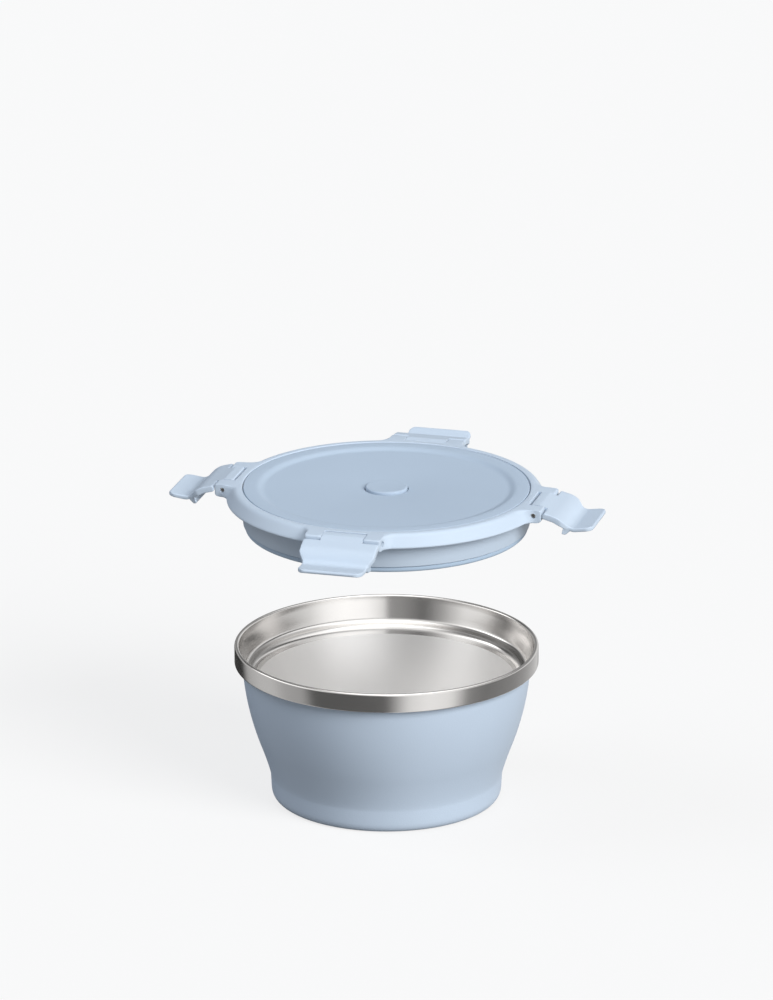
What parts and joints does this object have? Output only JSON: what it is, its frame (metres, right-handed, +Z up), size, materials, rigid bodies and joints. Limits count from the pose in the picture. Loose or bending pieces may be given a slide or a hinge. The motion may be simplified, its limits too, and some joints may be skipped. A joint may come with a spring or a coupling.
{
  "type": "lunch bowl",
  "caption": "Insulated steel lunch bowl with a coated outer shell, a bare steel rim band and a lift-off plastic lid with a seal, hinged latches and a push vent.",
  "frame": {"origin": "centre of the bowl's foot ring, on the surface it stands on", "axes": "+Z up along the bowl's axis; the latches lie along +X, -X, +Y and -Y, and -Y is the front"},
  "size_m": [0.2292, 0.2292, 0.1714],
  "materials": {
    "bare_steel": "satin brushed stainless steel",
    "powder_coat": "fine matt powder coat, pale blue",
    "lid_plastic": "satin moulded plastic, pale blue",
    "silicone": "soft matt silicone",
    "spring_steel": "drawn wire",
    "getter_alloy": "pressed metal powder",
    "sealing_glass": "fused grey glass bead"
  },
  "bodies": {
    "bowl": {"inner_liner": "bare_steel", "outer_shell": "powder_coat", "base_cover": "powder_coat", "vacuum_seal_plug": "sealing_glass", "getter_disc": "getter_alloy"},
    "lid": {"lid_body": "lid_plastic", "top_plate": "lid_plastic", "lid_seal": "silicone", "vent_spring": "spring_steel", "hinge_pin_front": "spring_steel", "hinge_pin_right": "spring_steel", "hinge_pin_back": "spring_steel", "hinge_pin_left": "spring_steel"},
    "vent": {"vent_button": "lid_plastic", "vent_stem": "lid_plastic", "vent_seal": "silicone"},
    "front_latch": {"latch_front": "lid_plastic"},
    "right_latch": {"latch_right": "lid_plastic"},
    "back_latch": {"latch_back": "lid_plastic"},
    "left_latch": {"latch_left": "lid_plastic"}
  },
  "joints": [
    {"name": "lid_lift", "type": "slide", "parent": "bowl", "child": "lid", "axis": [0, 0, 1], "range_m": [-0.0778, 0]},
    {"name": "vent_press", "type": "slide", "parent": "lid", "child": "vent", "axis": [0, 0, 1], "range_m": [-0.0015, 0], "stiffness_N_per_m": 400, "springref_m": 0.004, "deforming": ["vent_spring"]},
    {"name": "front_latch_hinge", "type": "hinge", "parent": "lid", "child": "front_latch", "pos_m": [0, -0.0835, 0.1678], "axis": [-1, 0, 0], "range_deg": [-71, 49]},
    {"name": "right_latch_hinge", "type": "hinge", "parent": "lid", "child": "right_latch", "pos_m": [0.0835, 0, 0.1678], "axis": [0, -1, 0], "range_deg": [-75, 45]},
    {"name": "back_latch_hinge", "type": "hinge", "parent": "lid", "child": "back_latch", "pos_m": [0, 0.0835, 0.1678], "axis": [1, 0, 0], "range_deg": [-83, 37]},
    {"name": "left_latch_hinge", "type": "hinge", "parent": "lid", "child": "left_latch", "pos_m": [-0.0835, 0, 0.1678], "axis": [0, 1, 0], "range_deg": [-75, 45]}
  ]
}
